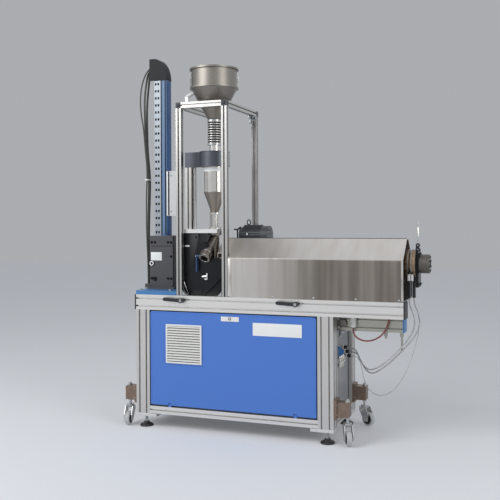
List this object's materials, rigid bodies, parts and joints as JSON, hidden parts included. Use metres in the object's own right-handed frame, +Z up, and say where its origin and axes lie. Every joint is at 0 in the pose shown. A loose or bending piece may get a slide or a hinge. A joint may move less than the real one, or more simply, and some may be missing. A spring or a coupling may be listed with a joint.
{
  "type": "plastic extruder",
  "caption": "Laboratory plastic extruder on a slotted profile frame with a blue cabinet door, hopper stand, lift column and roofed barrel.",
  "frame": {"origin": "middle of the front left levelling foot, on the floor", "axes": "+X along the barrel towards the die, +Y from the door side to the back, +Z up"},
  "size_m": [1.6166, 0.501, 1.99],
  "materials": {
    "black_cast": "semi-matt paint",
    "black_plastic": "matt",
    "blue_paint": "satin powder coat",
    "cable_black": "matt",
    "cable_grey": "matt",
    "column": "satin",
    "fold_rubber": "matt",
    "grey_paint": "satin",
    "heat_steel": "heat stained",
    "hose_pink": "satin",
    "polished": "polished",
    "profile": "satin anodised",
    "sheet": "satin",
    "steel": "brushed",
    "tread": "matt",
    "white_plastic": "satin",
    "zinc": "zinc plated"
  },
  "bodies": {
    "machine": {"legs": "profile", "levelling_feet": "black_plastic", "top_beams": "profile", "beam_end_caps": "black_plastic", "bottom_rails": "profile", "table_plate": "steel", "low_beam": "profile", "low_beam_cap": "blue_paint", "cabinet_panels": "grey_paint", "door_hinge_lugs": "zinc", "base_plate": "blue_paint", "drive_unit": "black_cast", "lift_mast": "blue_paint", "perforated_rail": "zinc", "cable_hood": "grey_paint", "carriage": "column", "stand_frame": "profile", "stand_corner_cubes": "black_plastic", "hopper": "polished", "bellows": "fold_rubber", "magnet_band": "column", "feed_vessel": "polished", "shelf": "column", "bracket_column": "profile", "pipe_collars": "polished", "gear_case": "black_cast", "drain_branch": "steel", "branch_lever": "blue_paint", "barrel": "steel", "heater_bands": "heat_steel", "barrel_hood": "sheet", "barrel_tray": "steel", "barrel_adapter": "heat_steel", "die_plate": "black_cast", "die_ring": "steel", "melt_sensor": "steel", "cable_plugs": "black_plastic", "water_manifold": "steel", "motor": "black_cast", "motor_bracket": "black_cast", "clamp_levers": "black_plastic", "lift_cable_1": "cable_grey", "lift_cable_2": "cable_black", "lift_cable_3": "cable_black", "die_cable_1": "cable_grey", "die_cable_2": "cable_grey", "water_hose": "hose_pink", "die_wire": "cable_grey", "caster_blocks": "grey_paint"},
    "door": {"door": "blue_paint", "filter_fan": "white_plastic", "door_lock": "white_plastic"},
    "caster_front_left_swivel": {"caster_front_left_fork": "zinc"},
    "caster_front_left_wheel": {"caster_front_left_wheel": "tread"},
    "caster_front_right_swivel": {"caster_front_right_fork": "zinc"},
    "caster_front_right_wheel": {"caster_front_right_wheel": "tread"},
    "caster_back_left_swivel": {"caster_back_left_fork": "zinc"},
    "caster_back_left_wheel": {"caster_back_left_wheel": "tread"},
    "caster_back_right_swivel": {"caster_back_right_fork": "zinc"},
    "caster_back_right_wheel": {"caster_back_right_wheel": "tread"}
  },
  "joints": [
    {"name": "door_hinge", "type": "hinge", "parent": "machine", "child": "door", "pos_m": [0.501, -0.034, 0.131], "axis": [1, 0, 0], "range_deg": [0, 90]},
    {"name": "caster_front_left_swivel", "type": "hinge", "parent": "machine", "child": "caster_front_left_swivel", "pos_m": [-0.1, 0, 0.0965], "axis": [0, 0, 1], "continuous": true},
    {"name": "caster_front_left_roll", "type": "hinge", "parent": "caster_front_left_swivel", "child": "caster_front_left_wheel", "pos_m": [-0.09652, -0.02476, 0.038], "axis": [0.9903, 0.1392, 0], "continuous": true},
    {"name": "caster_front_right_swivel", "type": "hinge", "parent": "machine", "child": "caster_front_right_swivel", "pos_m": [1.102, 0, 0.0965], "axis": [0, 0, 1], "continuous": true},
    {"name": "caster_front_right_roll", "type": "hinge", "parent": "caster_front_right_swivel", "child": "caster_front_right_wheel", "pos_m": [1.11217, -0.02284, 0.038], "axis": [0.9135, 0.4067, 0], "continuous": true},
    {"name": "caster_back_left_swivel", "type": "hinge", "parent": "machine", "child": "caster_back_left_swivel", "pos_m": [-0.1, 0.395, 0.0965], "axis": [0, 0, 1], "continuous": true},
    {"name": "caster_back_left_roll", "type": "hinge", "parent": "caster_back_left_swivel", "child": "caster_back_left_wheel", "pos_m": [-0.0875, 0.37335, 0.038], "axis": [0.866, 0.5, 0], "continuous": true},
    {"name": "caster_back_right_swivel", "type": "hinge", "parent": "machine", "child": "caster_back_right_swivel", "pos_m": [1.102, 0.395, 0.0965], "axis": [0, 0, 1], "continuous": true},
    {"name": "caster_back_right_roll", "type": "hinge", "parent": "caster_back_right_swivel", "child": "caster_back_right_wheel", "pos_m": [1.12407, 0.38326, 0.038], "axis": [0.4695, 0.8829, 0], "continuous": true}
  ]
}
